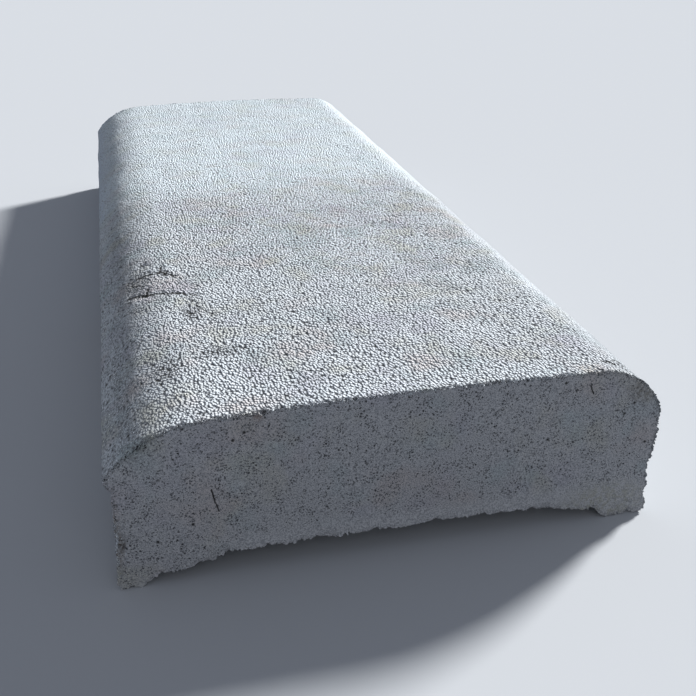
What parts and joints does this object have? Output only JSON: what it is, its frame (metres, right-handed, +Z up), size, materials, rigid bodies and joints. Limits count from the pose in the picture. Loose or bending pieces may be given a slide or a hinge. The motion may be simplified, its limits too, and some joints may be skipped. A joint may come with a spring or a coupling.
{
  "type": "concrete kerb stone",
  "caption": "Cast concrete kerb stone: a long low block with a crowned top, large rounded shoulders and a shallow trough under it between two long feet.",
  "frame": {"origin": "under the middle of the stone, in the plane of its two feet", "axes": "+Z up, from the feet to the crowned top; +Y along the stone, from the end nearer the camera to the far end; +X across it, to the right in the picture"},
  "size_m": [0.2, 0.5, 0.065],
  "materials": {
    "cast_concrete": "matt, open sandy grain"
  },
  "bodies": {
    "root": {"kerb_stone": "cast_concrete"}
  },
  "joints": []
}
